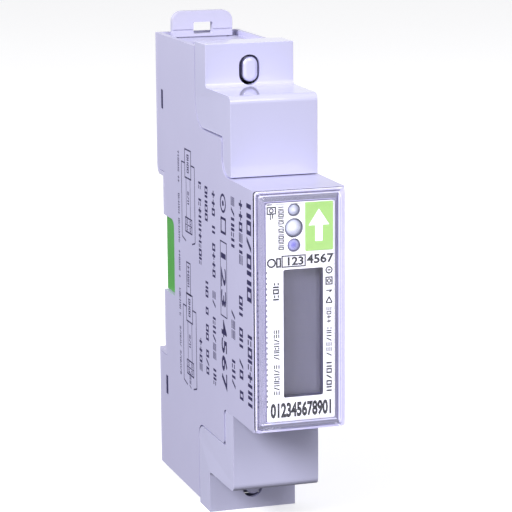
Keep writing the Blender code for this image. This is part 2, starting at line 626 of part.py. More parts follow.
# ---------------------------------------------------------------- current path
def busbars():
    for name, x, side in main_terminals():
        inner, outer = 26.0, 41.0
        z0, z1 = sorted((side * inner, side * outer))
        bar = block(f"{name}_busbar", x - 2.3, x + 2.0, BAR_BACK, BAR_FRONT, z0, z1)
        finish(bar, COPPER)
    shunt = block("shunt", -5.8, 5.6, BAR_FRONT + 0.1, BAR_FRONT + 1.0, -29.8, -24.2)
    cut(shunt, block("shunt_notch", -1.2, 1.2, BAR_FRONT - 1, BAR_FRONT + 2, -31, -27.2))
    finish(shunt, MANGANIN)


def terminal_cage(name, x, side):
    """A box that slides forwards on its screw and lifts the wire against the busbar."""
    z = side * TERMINAL_Z
    made = block(f"{name}_cage", x - 3.2, x + 3.2, 12.0, 23.0, z - 4, z + 4)
    window = rectangle(x - 2.6, x + 2.6, 13.2, 21.7, 0.5)
    cut(made, extrusion(f"{name}_cage_window", window, TOP_VIEW, z - 6, z + 6, 2))
    cut(made, rod(f"{name}_thread", x, z, SCREW_R + 0.06, 21, 24, 20))
    return finish(origin_at(made, x, 12.0, z), STEEL)


def slotted_screw(name, x, z, radius, head_r, tip, neck, head):
    """A cheese-head screw: its shank runs from tip to neck, its head from neck to head."""
    profile = [(0, head), (head_r - 0.25, head), (head_r, head - 0.25), (head_r, neck),
               (radius, neck), (radius, tip + 0.4), (radius - 0.4, tip), (0, tip)]
    made = turned(name, profile, x, z, 20)
    slot = block(f"{name}_slot", -head_r * 1.2, head_r * 1.2, head - 0.9, head + 1, -0.4, 0.4)
    slot.location = (x * MM, 0, z * MM)
    cross = block(f"{name}_cross", -0.4, 0.4, head - 0.9, head + 1, -head_r * 0.7, head_r * 0.7)
    cross.location = (x * MM, 0, z * MM)
    cut(made, slot, cross)
    return finish(made, NICKEL)


def terminals():
    for name, x, side in main_terminals():
        terminal_cage(name, x, side)
        slotted_screw(f"{name}_screw", x, side * TERMINAL_Z, SCREW_R, SCREW_HEAD_R,
                      BAR_FRONT + 0.15, 26.9, 28.8)
    made = block("auxiliary_block", 0.7, 7.2, 12.5, 26.0, 32.6, 41.8)
    for index, x in enumerate(AUX_X):
        opening = rectangle(x - 1.1, x + 1.1, AUX_WIRE_DEPTH - 1.4, AUX_WIRE_DEPTH + 1.4)
        cut(made, extrusion(f"auxiliary_wire_{index + 1}", opening, TOP_VIEW, 35.5, 43),
            rod(f"auxiliary_thread_{index + 1}", x, TERMINAL_Z, 1.3, 17.5, 27, 16))
        slotted_screw(f"auxiliary_screw_{index + 1}", x, TERMINAL_Z, 0.95, 1.2, 20.6, 24.6, 26.4)
    finish(made, TERMINAL_GREEN)


# ---------------------------------------------------------------- the whole meter
def build():
    front_housing()
    rear_base()
    rail_pad()
    rail_clip()
    clip_spring()
    for end, side in signs():
        terminal_cover(end, side)
        seal_post(end, side)
    window_cover()
    label_plate()
    arrow_sticker()
    display_parts()
    for name in OPTICS:
        optic(name)
    main_board()
    components()
    busbars()
    terminals()


build()
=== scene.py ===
# %% [markdown]
# # Dressing a slim rail-mounted electricity meter
# The meter is one module wide and clips on a mounting rail. Its solids were modelled and packed
# beforehand, so this lesson only gives them their looks: real materials, the ink printed on the case
# and on the label, a camera and a studio. The frame is loaded first, because every piece that is added
# later takes its place from it and rides on one of its bodies.

# %% Load the frame
import math

import bmesh
import bpy
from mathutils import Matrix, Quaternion, Vector


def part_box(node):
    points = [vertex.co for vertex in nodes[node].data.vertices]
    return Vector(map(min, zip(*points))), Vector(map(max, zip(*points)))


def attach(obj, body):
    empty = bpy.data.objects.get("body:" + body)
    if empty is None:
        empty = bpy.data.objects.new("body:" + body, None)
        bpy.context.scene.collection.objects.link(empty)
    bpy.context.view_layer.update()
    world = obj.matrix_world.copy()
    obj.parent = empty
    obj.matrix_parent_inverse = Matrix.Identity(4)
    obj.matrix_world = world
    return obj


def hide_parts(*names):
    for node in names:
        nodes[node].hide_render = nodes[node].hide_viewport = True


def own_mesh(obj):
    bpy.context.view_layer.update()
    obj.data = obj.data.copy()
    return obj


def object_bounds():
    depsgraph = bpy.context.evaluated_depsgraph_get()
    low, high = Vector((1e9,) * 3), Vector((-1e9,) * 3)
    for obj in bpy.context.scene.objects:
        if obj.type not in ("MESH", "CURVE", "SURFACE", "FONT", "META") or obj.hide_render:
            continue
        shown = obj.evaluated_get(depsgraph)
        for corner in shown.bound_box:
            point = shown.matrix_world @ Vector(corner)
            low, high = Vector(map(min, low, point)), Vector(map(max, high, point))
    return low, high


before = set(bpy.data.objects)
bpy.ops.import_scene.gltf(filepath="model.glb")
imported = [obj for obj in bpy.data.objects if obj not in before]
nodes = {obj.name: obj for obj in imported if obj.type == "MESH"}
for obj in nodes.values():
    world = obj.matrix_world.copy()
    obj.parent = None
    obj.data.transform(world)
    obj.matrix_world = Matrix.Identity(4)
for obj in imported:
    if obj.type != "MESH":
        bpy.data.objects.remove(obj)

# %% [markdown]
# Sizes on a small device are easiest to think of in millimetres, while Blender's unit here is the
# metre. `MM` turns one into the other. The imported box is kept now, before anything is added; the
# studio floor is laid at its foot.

MM = 0.001
cad_box = [list(corner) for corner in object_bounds()]
print("packed box in mm:", [[round(v / MM, 2) for v in corner] for corner in cad_box])

# %% [markdown]
# The meter was drawn from three datums: across from its middle, forwards from its rear, and up from the
# middle of its 45 mm front. `spot` turns such a place into a point of the frame. The datums are
# measured on the nodes themselves, so nothing has to be fitted by eye.

# %% Datums
window_low, window_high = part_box("window_cover")
case_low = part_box("front_housing")[0]
label_low, label_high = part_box("label_plate")
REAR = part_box("rear_base")[1].y
MIDDLE = (window_low.z + window_high.z) / 2
LABEL_FACE = (REAR - label_low.y) / MM
FRONT_FACE = (REAR - case_low.y) / MM
SIDE_FACE = case_low.x / MM


def spot(across, forward, up):
    """The point of the frame at these millimetres from the meter's three datums."""
    return Vector((across * MM, REAR - forward * MM, MIDDLE + up * MM))


print("label face", round(LABEL_FACE, 2), "mm forward; side face", round(SIDE_FACE, 2), "mm across")

# %% [markdown]
# ## How a material is built
# A colour is picked as an sRGB hex code, which is what a colour chart or a screen shows, but shader
# sockets want linear light. One function does that step for every colour in the lesson.

# %% Colours


def linear(code):
    """An sRGB hex code as the linear colour that a shader socket takes."""
    shares = [int(code[i:i + 2], 16) / 255 for i in (1, 3, 5)]
    return [c / 12.92 if c <= 0.04045 else ((c + 0.055) / 1.055) ** 2.4 for c in shares] + [1.0]


print("mid grey is", [round(c, 3) for c in linear("#808080")])

# %% [markdown]
# Every material is a small tree of nodes. `add_node` makes one node, sets its properties and its
# sockets, and links other nodes' outputs into it. A socket is named, or counted where several
# share a name.

# %% Adding a node


def add_node(material, kind, settings=None, links=None):
    """A new node of this kind, with its properties and sockets set and other outputs linked in."""
    made = material.node_tree.nodes.new(kind)
    for name, value in (settings or {}).items():
        if isinstance(name, int) or name in made.inputs:
            made.inputs[name].default_value = value
        else:
            setattr(made, name, value)
    for name, output in (links or {}).items():
        material.node_tree.links.new(output, made.inputs[name])
    return made


# %% [markdown]
# A material starts from the Principled shader, with the values that are the same all over set straight
# on its sockets: colour, roughness, index of refraction and metal or not. Patterns come on top.

# %% Starting a material


def start_material(name, colour, roughness, **sockets):
    """A material with one Principled shader, and that shader."""
    material = bpy.data.materials.new(name)
    material.use_nodes = True
    material.node_tree.nodes.clear()
    settings = {"Base Color": linear(colour), "Roughness": roughness}
    settings.update({key.replace("_", " "): value for key, value in sockets.items()})
    shader = add_node(material, "ShaderNodeBsdfPrincipled", settings)
    add_node(material, "ShaderNodeOutputMaterial", {}, {"Surface": shader.outputs["BSDF"]})
    material.diffuse_color = linear(colour)
    print("material", name)
    return material, shader


# %% [markdown]
# Three patterns carry most of what makes a moulded or rolled surface look real. A fine relief breaks up
# its reflections, a slow drift of tone keeps it from looking like paint, and an uneven gloss shows
# where it was handled or where the tool was polished. Each takes its size in millimetres and works in
# the object's own coordinates, so it stays on the piece whatever the view.

# %% Relief, tone and gloss


def speckle(material, size_mm, detail=2.0, stretch=(1, 1, 1)):
    """Smooth noise whose blobs are about size_mm across, drawn longer where stretch is above 1."""
    place = add_node(material, "ShaderNodeTexCoord")
    scaled = add_node(material, "ShaderNodeMapping", {"Scale": [1 / s for s in stretch]},
                      {"Vector": place.outputs["Object"]})
    return add_node(material, "ShaderNodeTexNoise", {"Scale": 1 / (size_mm * MM), "Detail": detail},
                    {"Vector": scaled.outputs["Vector"]})


def relief(material, shader, size_mm, height_mm, strength=0.5, stretch=(1, 1, 1)):
    """A fine unevenness, height_mm deep, that only the reflections show."""
    grain = speckle(material, size_mm, stretch=stretch)
    bump = add_node(material, "ShaderNodeBump", {"Distance": height_mm * MM, "Strength": strength},
                    {"Height": grain.outputs["Fac"]})
    material.node_tree.links.new(bump.outputs["Normal"], shader.inputs["Normal"])


def tone(material, shader, darker, lighter, size_mm, stretch=(1, 1, 1)):
    """The base colour drifts between two near tones over patches of size_mm."""
    drift = speckle(material, size_mm, detail=3.0, stretch=stretch)
    mix = add_node(material, "ShaderNodeMix",
                   {"data_type": "RGBA", 6: linear(darker), 7: linear(lighter)},
                   {0: drift.outputs["Fac"]})
    material.node_tree.links.new(mix.outputs[2], shader.inputs["Base Color"])


def uneven_gloss(material, shader, glossiest, dullest, size_mm, stretch=(1, 1, 1)):
    """The roughness wanders between two values over patches of size_mm."""
    patches = speckle(material, size_mm, detail=4.0, stretch=stretch)
    spread = add_node(material, "ShaderNodeMapRange", {"To Min": glossiest, "To Max": dullest},
                      {"Value": patches.outputs["Fac"]})
    material.node_tree.links.new(spread.outputs["Result"], shader.inputs["Roughness"])


def dress(material, *names):
    """The named nodes of the frame take this material alone."""
    for name in names:
        nodes[name].data.materials.clear()
        nodes[name].data.materials.append(material)
    print(material.name, "->", ", ".join(names))


# %% [markdown]
# ## The case
# The case is injection-moulded polycarbonate, a light grey with a cool lavender cast. It comes from a
# finely eroded tool, so the eye sees a soft satin sheen with a grain of about 0.35 mm, and very slow
# changes of tone where the melt flowed and cooled.

# %% Moulded polycarbonate, satin
case_plastic, shader = start_material("polycarbonate_moulded_satin", "#C3C1E1", 0.32, IOR=1.58)
tone(case_plastic, shader, "#C0BEDF", "#C6C4E4", 14)
relief(case_plastic, shader, 0.35, 0.004, 0.35)
uneven_gloss(case_plastic, shader, 0.27, 0.38, 9)
dress(case_plastic, "front_housing")

# %% [markdown]
# The rear base comes from the same plastic, in a tool that was left a little rougher because the rail
# hides it. Only the grain and the gloss differ.

# %% Moulded polycarbonate, matt
base_plastic, shader = start_material("polycarbonate_moulded_matt", "#C3C1DC", 0.45, IOR=1.58)
tone(base_plastic, shader, "#BEBCDA", "#C7C5E2", 10)
relief(base_plastic, shader, 0.5, 0.008, 0.5)
uneven_gloss(base_plastic, shader, 0.38, 0.52, 6)
dress(base_plastic, "rear_base")

# %% [markdown]
# The two terminal covers and their seal posts come from a polished tool. They mirror the studio softly,
# so they get a low roughness and only a faint, wide unevenness, like the skin of an orange.

# %% Moulded polycarbonate, polished
cover_plastic, shader = start_material("polycarbonate_moulded_polished", "#CBCAEA", 0.06, IOR=1.58)
tone(cover_plastic, shader, "#C9C8E8", "#CDCCEC", 12)
relief(cover_plastic, shader, 1.6, 0.002, 0.2)
uneven_gloss(cover_plastic, shader, 0.04, 0.08, 7)
dress(cover_plastic, "upper_terminal_cover", "lower_terminal_cover", "upper_seal_post", "lower_seal_post")

# %% [markdown]
# The rail clip slides and springs every time the meter is mounted, so it is a tough nylon. Nylon is a
# little duller and warmer than polycarbonate, and its grain is drawn along the way it slides.

# %% Moulded nylon
clip_plastic, shader = start_material("nylon_moulded", "#C4C2DC", 0.36, IOR=1.53)
tone(clip_plastic, shader, "#C0BEDA", "#C9C7E0", 8, stretch=(1, 1, 3))
relief(clip_plastic, shader, 0.3, 0.006, 0.4, stretch=(1, 1, 4))
uneven_gloss(clip_plastic, shader, 0.3, 0.42, 4)
dress(clip_plastic, "rail_clip")

# %% [markdown]
# A green insert sits between the two halves at the rail. It is polypropylene: waxy, with a tone that
# drifts over a few millimetres. A little light goes under its skin, which softens its edges.

# %% Moulded polypropylene, green
green_plastic, shader = start_material("polypropylene_moulded_green", "#54A44C", 0.42, IOR=1.49)
shader.inputs["Subsurface Weight"].default_value = 0.12
shader.inputs["Subsurface Radius"].default_value = (0.0006, 0.0012, 0.0005)
shader.inputs["Subsurface Scale"].default_value = 1.0
tone(green_plastic, shader, "#4C9D46", "#5FAE58", 7)
relief(green_plastic, shader, 0.6, 0.008, 0.4)
dress(green_plastic, "rail_pad")

# %% [markdown]
# ## The front window
# A clear cap with a sloping rim snaps over the label and the display. It is polished polycarbonate, so
# it lets the label through almost untouched, while its slopes bend the light. The lines of light and shade
# that the slopes show are painted bands, laid on further down. Clear plastic casts next to no shadow, so
# the cap's own shadow is switched off and the label stays bright.

# %% Clear polycarbonate
clear_plastic, shader = start_material("polycarbonate_clear_polished", "#F7F6FF", 0.02, IOR=1.58)
shader.inputs["Transmission Weight"].default_value = 1.0
relief(clear_plastic, shader, 4.0, 0.002, 0.15)
uneven_gloss(clear_plastic, shader, 0.003, 0.012, 5)
dress(clear_plastic, "window_cover")
nodes["window_cover"].visible_shadow = False

# %% [markdown]
# The label is a white polyester film, printed on its back and laminated, so it is bright, smooth and
# faintly silky. Its tone hardly moves; a fine relief stands for the film's weave of tiny ripples.

# %% Polyester film, laminated
film, shader = start_material("polyester_film_laminated", "#F4F5F8", 0.3, IOR=1.6)
tone(film, shader, "#F1F2F6", "#F8F8FA", 5)
relief(film, shader, 0.8, 0.003, 0.25)
dress(film, "label_plate")

# %% [markdown]
# The bright green sticker is vinyl film, screen-printed with one flat ink. Ink on vinyl lies in a thin
# even coat with a faint mottle, which is all the variation it gets.

# %% Vinyl film, green
green_film, shader = start_material("vinyl_film_screen_printed_green", "#93BF60", 0.28, IOR=1.5)
tone(green_film, shader, "#8EBB5C", "#98C465", 0.9)
relief(green_film, shader, 0.5, 0.003, 0.2)
dress(green_film, "arrow_sticker")

# %% [markdown]
# The display is two sheets of glass with a polariser on top. Switched off it is a smooth grey with a
# slight violet cast. The polariser is a plastic sheet, so it is glossy but not quite like glass.

# %% Polarised display glass
display_glass, shader = start_material("glass_polariser_laminated", "#5A596C", 0.05, IOR=1.52)
tone(display_glass, shader, "#575669", "#5D5C70", 6)
relief(display_glass, shader, 6.0, 0.001, 0.1)
dress(display_glass, "lcd_glass")

# %% [markdown]
# Two light-emitting diodes and one wide lens look out beside the label. They are cast epoxy domes over
# small parts that can't be made out, so they read as milky, glossy drops: two nearly colourless, the
# infrared one tinted blue-violet. Their colour also carries painted light and shade: a round gradient,
# centred a little up and to the left towards the key lamp, runs from a painted light middle to a painted
# shaded rim, darkest on the right and below. It is 1 in the middle and 0 at the rim; each fade is the
# stretch of it over which two tones mix.

# %% Cast epoxy domes
# How far the painted light's centre sits left and up of each dome's middle, in radii, towards the key lamp.
PAINTED_LIGHT_LEFT, PAINTED_LIGHT_UP = 0.12, 0.1
PAINTED_SHADE_FADE, PAINTED_LIGHT_FADE = (0.02, 0.3), (0.4, 0.85)
# rim is the painted shade at the rim, body the epoxy's tone, heart the painted light of the middle (for the
# infrared one also its violet tint).
EPOXIES = (  # node, material, rim, body, heart
    ("pulse_led", "epoxy_cast_milky_small", "#62667C", "#9DA1B3", "#C4C7D2"),
    ("optical_lens", "epoxy_cast_milky_wide", "#6E7288", "#B2B6C4", "#D3D6E0"),
    ("infrared_led", "epoxy_cast_violet", "#66658A", "#8B8BB6", "#6664B4"),
)
for name, epoxy_name, rim, body, heart in EPOXIES:
    low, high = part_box(name)
    radius, centre = (high.x - low.x) / 2, (low + high) / 2
    epoxy, shader = start_material(epoxy_name, body, 0.06, IOR=1.53)
    place = add_node(epoxy, "ShaderNodeTexCoord")
    centred = add_node(epoxy, "ShaderNodeMapping",
                       {"Scale": (1 / radius, 0, 1 / radius),
                        "Location": (PAINTED_LIGHT_LEFT - centre.x / radius, 0, -PAINTED_LIGHT_UP - centre.z / radius)},
                       {"Vector": place.outputs["Object"]})
    painted_light_gradient = add_node(epoxy, "ShaderNodeTexGradient", {"gradient_type": "SPHERICAL"},
                     {"Vector": centred.outputs["Vector"]})
    painted_shade_share, painted_light_share = [
        add_node(epoxy, "ShaderNodeMapRange", {"From Min": start, "From Max": end},
                 {"Value": painted_light_gradient.outputs["Fac"]})
        for start, end in (PAINTED_SHADE_FADE, PAINTED_LIGHT_FADE)]
    painted_shade_mix = add_node(epoxy, "ShaderNodeMix", {"data_type": "RGBA", 6: linear(rim), 7: linear(body)},
                       {0: painted_shade_share.outputs["Result"]})
    painted_light_mix = add_node(epoxy, "ShaderNodeMix", {"data_type": "RGBA", 7: linear(heart)},
                         {0: painted_light_share.outputs["Result"], 6: painted_shade_mix.outputs[2]})
    epoxy.node_tree.links.new(painted_light_mix.outputs[2], shader.inputs["Base Color"])
    relief(epoxy, shader, 0.7, 0.003, 0.2)
    dress(epoxy, name)

# %% [markdown]
# ## What shows when the covers come off
# Terminal cages are bent from zinc-plated steel. The plating is bright with a faint bluish bloom, in
# patches of a few millimetres, over fine lines left by rolling. A metal keeps the default IOR.

# %% Zinc-plated steel
zinc_steel, shader = start_material("steel_zinc_plated", "#C4C7CC", 0.3, Metallic=1.0)
tone(zinc_steel, shader, "#B6BAC2", "#D0D2D4", 1.8)
relief(zinc_steel, shader, 0.12, 0.004, 0.5, stretch=(1, 8, 1))
uneven_gloss(zinc_steel, shader, 0.2, 0.42, 1.2)
dress(zinc_steel, "input_cage", "output_cage", "neutral_cage")

# %% [markdown]
# The screws are nickel-plated brass, warmer and smoother than zinc, turned on a lathe. The turning left
# rings a few hundredths of a millimetre apart. They are drawn far coarser here, so that they can show:
# a wave texture runs through 20 radians to the unit, so `FINE_WAVES` sets its lines 0.8 mm apart.

# %% Nickel-plated brass
FINE_WAVES = 397.9
nickel_brass, shader = start_material("brass_nickel_plated", "#CFCBBE", 0.2, Metallic=1.0)
tone(nickel_brass, shader, "#C4BFB0", "#D8D5CA", 0.9)
place = add_node(nickel_brass, "ShaderNodeTexCoord")
rings = add_node(nickel_brass, "ShaderNodeTexWave",
                 {"wave_type": "BANDS", "bands_direction": "Y", "Scale": FINE_WAVES, "Distortion": 0.4},
                 {"Vector": place.outputs["Object"]})
turned = add_node(nickel_brass, "ShaderNodeBump", {"Distance": 0.01 * MM, "Strength": 0.4},
                  {"Height": rings.outputs["Fac"]})
nickel_brass.node_tree.links.new(turned.outputs["Normal"], shader.inputs["Normal"])
dress(nickel_brass, "input_screw", "output_screw", "neutral_screw", "auxiliary_screw_1",
      "auxiliary_screw_2")

# %% [markdown]
# The clip spring is drawn spring steel. Drawing the wire through a die leaves long fine scratches and a
# grey, slightly oily shine.

# %% Drawn spring steel
spring_steel, shader = start_material("spring_steel_drawn", "#A9ABB0", 0.28, Metallic=1.0)
tone(spring_steel, shader, "#9A9CA3", "#B8BABD", 1.0)
relief(spring_steel, shader, 0.08, 0.003, 0.5, stretch=(6, 6, 1))
dress(spring_steel, "clip_spring")

# %% [markdown]
# The spring gets shorter when the rail clip is pulled up by its travel, as a compression spring does. A
# copy of its mesh, with a mesh of its own, stands for it here and rides on the meter; the original is
# hidden.

# %% A copy of the spring
coil = bpy.data.objects.new("clip_spring_coil", nodes["clip_spring"].data.copy())
bpy.context.scene.collection.objects.link(coil)
coil.data.materials.clear()
coil.data.materials.append(spring_steel)
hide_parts("clip_spring")
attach(coil, "meter")
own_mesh(coil)

# %% [markdown]
# Busbars are bare rolled copper. Air has turned it from salmon to a browner red in clouds, and rolling
# left straight lines along the strip.

# %% Rolled copper
copper, shader = start_material("copper_rolled_bare", "#C9805E", 0.32, Metallic=1.0)
tone(copper, shader, "#B06A4A", "#DB9470", 2.5)
relief(copper, shader, 0.15, 0.004, 0.5, stretch=(1, 1, 10))
uneven_gloss(copper, shader, 0.24, 0.45, 1.5)
dress(copper, "input_busbar", "output_busbar", "neutral_busbar")

# %% [markdown]
# The shunt that measures the current is manganin, an alloy of copper and manganese. It is greyer than
# copper, and the electron beam that welded it left it slightly browned.

# %% Rolled manganin
manganin, shader = start_material("manganin_rolled", "#A18B78", 0.36, Metallic=1.0)
tone(manganin, shader, "#8E7968", "#B09A86", 1.5)
relief(manganin, shader, 0.15, 0.004, 0.5, stretch=(1, 1, 10))
dress(manganin, "shunt")

# %% [markdown]
# ## Inside the case
# The boards are woven glass fibre with a green solder mask over copper tracks. The tracks stand out as
# lighter green ridges. A brick pattern with thin mortar, 1.2 mm apart, gives a simple net of them.

# %% Solder-masked board
board, shader = start_material("glass_fibre_solder_masked", "#1E6A42", 0.3, IOR=1.55)
place = add_node(board, "ShaderNodeTexCoord")
turn = add_node(board, "ShaderNodeMapping", {"Rotation": (math.radians(90), 0, 0)},
                {"Vector": place.outputs["Object"]})
tracks = add_node(board, "ShaderNodeTexBrick",
                  {"Scale": 1 / MM, "Color1": linear("#1B623C"), "Color2": linear("#206A42"),
                   "Mortar": linear("#3C8F5E"), "Mortar Size": 0.12, "Brick Width": 3.1, "Row Height": 1.2},
                  {"Vector": turn.outputs["Vector"]})
board.node_tree.links.new(tracks.outputs["Color"], shader.inputs["Base Color"])
ridge = add_node(board, "ShaderNodeBump", {"Distance": 0.03 * MM, "Strength": 0.6},
                 {"Height": tracks.outputs["Fac"]})
board.node_tree.links.new(ridge.outputs["Normal"], shader.inputs["Normal"])
dress(board, "main_board", "display_board")

# %% [markdown]
# Chips, the optocoupler and the connector are moulded in black epoxy or nylon. Both are a soft dark
# grey rather than black, with the sandy grain of a filled resin.

# %% Filled black resin
black_resin, shader = start_material("epoxy_filled_black", "#1E1E21", 0.5, IOR=1.5)
tone(black_resin, shader, "#19191C", "#26262A", 0.6)
relief(black_resin, shader, 0.1, 0.008, 0.6)
dress(black_resin, "microcontroller", "metering_chip", "optocoupler", "board_connector", "lcd_holder")

# %% [markdown]
# Strips of silicone rubber join the display to its board. Conducting and insulating layers alternate
# every 0.1 mm; they are drawn as far apart as the screws' rings here, so that they can show.

# %% Layered silicone rubber
layered_rubber, shader = start_material("silicone_rubber_layered", "#2A2A2D", 0.6, IOR=1.41)
place = add_node(layered_rubber, "ShaderNodeTexCoord")
layers = add_node(layered_rubber, "ShaderNodeTexWave",
                  {"wave_type": "BANDS", "bands_direction": "Z", "wave_profile": "SIN",
                   "Scale": FINE_WAVES},
                  {"Vector": place.outputs["Object"]})
grey_black = add_node(layered_rubber, "ShaderNodeMix",
                      {"data_type": "RGBA", 6: linear("#1B1B1D"), 7: linear("#8A8A90")},
                      {0: layers.outputs["Fac"]})
layered_rubber.node_tree.links.new(grey_black.outputs[2], shader.inputs["Base Color"])
dress(layered_rubber, "zebra_strip_left", "zebra_strip_right")

# %% [markdown]
# The crystal sits in a drawn nickel-silver can. Drawing polishes it, so it is the brightest metal on
# the board, with soft stretch marks running up its sides.

# %% Drawn nickel silver
can_metal, shader = start_material("nickel_silver_drawn", "#D2D0C6", 0.16, Metallic=1.0)
tone(can_metal, shader, "#C8C6BB", "#DDDBD2", 1.4)
relief(can_metal, shader, 0.2, 0.003, 0.4, stretch=(1, 1, 5))
dress(can_metal, "crystal")

# %% [markdown]
# The supply capacitor is a film capacitor potted in a yellow polyester box. The box has a dull gloss
# and faint dimples where it shrank.

# %% Yellow polyester box
yellow_box, shader = start_material("polyester_box_yellow", "#D9B23A", 0.35, IOR=1.57)
tone(yellow_box, shader, "#D1A932", "#E0BB45", 3)
relief(yellow_box, shader, 1.5, 0.02, 0.3)
dress(yellow_box, "supply_capacitor")

# %% [markdown]
# The round capacitor wears a sleeve of black PVC that was shrunk on with heat. It is smooth and a bit
# wavy, and the wall under it makes its tone uneven.

# %% Shrunk PVC sleeve
shrunk_sleeve, shader = start_material("pvc_sleeve_shrunk_black", "#15151C", 0.25, IOR=1.53)
tone(shrunk_sleeve, shader, "#121218", "#1E1E28", 2)
relief(shrunk_sleeve, shader, 1.0, 0.02, 0.4)
dress(shrunk_sleeve, "smoothing_capacitor")

# %% [markdown]
# The varistor was dipped in blue epoxy powder and baked. The coat is thick, glossy and a little lumpy.

# %% Dipped blue epoxy
dipped_epoxy, shader = start_material("epoxy_dipped_blue", "#234C93", 0.28, IOR=1.55)
tone(dipped_epoxy, shader, "#1F4588", "#2B579F", 1.5)
relief(dipped_epoxy, shader, 0.8, 0.03, 0.6)
dress(dipped_epoxy, "varistor")

# %% [markdown]
# The two small auxiliary terminals share a block of green nylon, darker and more saturated than the
# rail insert.

# %% Moulded nylon, green
green_nylon, shader = start_material("nylon_moulded_green", "#2C7A45", 0.4, IOR=1.53)
tone(green_nylon, shader, "#28713F", "#33864E", 3)
relief(green_nylon, shader, 0.4, 0.006, 0.4)
dress(green_nylon, "auxiliary_block")

# %% [markdown]
# ## Printing
# All the marks are ink, and ink has a real thickness: about a hundredth of a millimetre for a pad
# print. Making the marks as thin closed solids keeps their edges sharp at any distance, with no image
# to stretch over the case. Ink is matt and mirrors less than plastic does, which the lower specular
# level says. The two depths are in millimetres: how far a mark stands proud, and how far it is sunk.

# %% Inks
# The navy ink's material also serves as painted shade in the snap slits and for the painted image of the
# edge ticks.
navy_ink_and_painted_light, shader = start_material("pad_printing_ink_navy_and_painted_light", "#2A2650", 0.5, IOR=1.5, Specular_IOR_Level=0.3)
tone(navy_ink_and_painted_light, shader, "#241F49", "#363160", 0.8)
relief(navy_ink_and_painted_light, shader, 0.15, 0.002, 0.4)
black_ink, shader = start_material("thermal_print_black", "#0B0B14", 0.5, IOR=1.5, Specular_IOR_Level=0.15)
tone(black_ink, shader, "#080810", "#12121C", 0.6)
relief(black_ink, shader, 0.1, 0.002, 0.3)
white_ink, shader = start_material("screen_printing_ink_white", "#F6F8FC", 0.4, IOR=1.5)
tone(white_ink, shader, "#F1F4F9", "#FBFCFF", 0.8)
relief(white_ink, shader, 0.15, 0.002, 0.3)
INK = 0.01
SUNK = 0.004

# %% [markdown]
# A mark is a list of flat outlines. `lay_ink_and_painted_light` lifts each outline into a thin closed solid on a face,
# starting a hair under the surface so that no two faces lie in one plane. `place` says where a point of
# the drawing goes, so the same function prints on the front and on the side.

# %% Laying ink on a face


def on_front(forward):
    """Places a drawing on a face that looks forwards: across and up in millimetres, then lift."""
    return lambda across, up, lift: spot(across, forward + lift, up)


def on_left(across):
    """Places a drawing on the left wall: forward and up in millimetres, then lift."""
    return lambda forward, up, lift: spot(across - lift, forward, up)


def on_right(across):
    """Places a drawing on the right wall in the same way."""
    return lambda forward, up, lift: spot(across + lift, forward, up)


# The same function also lays the bands of painted light and shade under the window's rim.
def lay_ink_and_painted_light(name, outlines, place, ink, body="meter", thickness=INK):
    """One object of thin closed solids, one for each outline, that rides on a body."""
    shape = bmesh.new()
    for outline in outlines:
        below = [shape.verts.new(place(a, b, -SUNK)) for a, b in outline]
        above = [shape.verts.new(place(a, b, thickness)) for a, b in outline]
        shape.faces.new(below)
        shape.faces.new(above[::-1])
        for i in range(len(outline)):
            j = (i + 1) % len(outline)
            shape.faces.new((below[i], above[i], above[j], below[j]))
    bmesh.ops.recalc_face_normals(shape, faces=shape.faces)
    mesh = bpy.data.meshes.new(name)
    shape.to_mesh(mesh)
    shape.free()
    mesh.materials.append(ink)
    piece = bpy.data.objects.new(name, mesh)
    bpy.context.scene.collection.objects.link(piece)
    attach(piece, body)
    print(name, len(outlines), "marks")


# %% [markdown]
# Simple outlines cover everything: a bar between two points, a rectangle, its frame, a disc and a ring.
# A ring or a frame is built of short bars that meet at their ends.

# %% Outlines


def bar(a0, b0, a1, b1, width):
    """A straight stroke of this width from one point to another."""
    length = math.hypot(a1 - a0, b1 - b0)
    na, nb = -(b1 - b0) / length * width / 2, (a1 - a0) / length * width / 2
    return [(a0 + na, b0 + nb), (a1 + na, b1 + nb), (a1 - na, b1 - nb), (a0 - na, b0 - nb)]


def rectangle(a0, b0, a1, b1):
    """A filled rectangle."""
    return [(a0, b0), (a1, b0), (a1, b1), (a0, b1)]


def frame_of(a0, b0, a1, b1, width):
    """The four strokes of a rectangle's frame."""
    h = width / 2
    return [bar(a0 - h, b0, a1 + h, b0, width), bar(a0 - h, b1, a1 + h, b1, width),
            bar(a0, b0, a0, b1, width), bar(a1, b0, a1, b1, width)]


def disc(a, b, radius, sides=20):
    """A filled circle."""
    turns = [2 * math.pi * i / sides for i in range(sides)]
    return [(a + radius * math.cos(t), b + radius * math.sin(t)) for t in turns]


def ring(a, b, radius, width, sides=24):
    """The short pieces of a circle's stroke."""
    pieces = []
    inner, outer = radius - width / 2, radius + width / 2
    for i in range(sides):
        t0, t1 = math.radians(360 * i / sides), math.radians(360 * (i + 1) / sides)
        pieces.append([(a + r * math.cos(t), b + r * math.sin(t))
                       for r, t in ((inner, t0), (outer, t0), (outer, t1), (inner, t1))])
    return pieces


# %% [markdown]
# Where the real meter carries words, this one carries rows of plain signs: upright strokes, boxes,
# slashes and stacked dashes, in an order that means nothing. From arm's length they have the same
# weight and rhythm as small print.

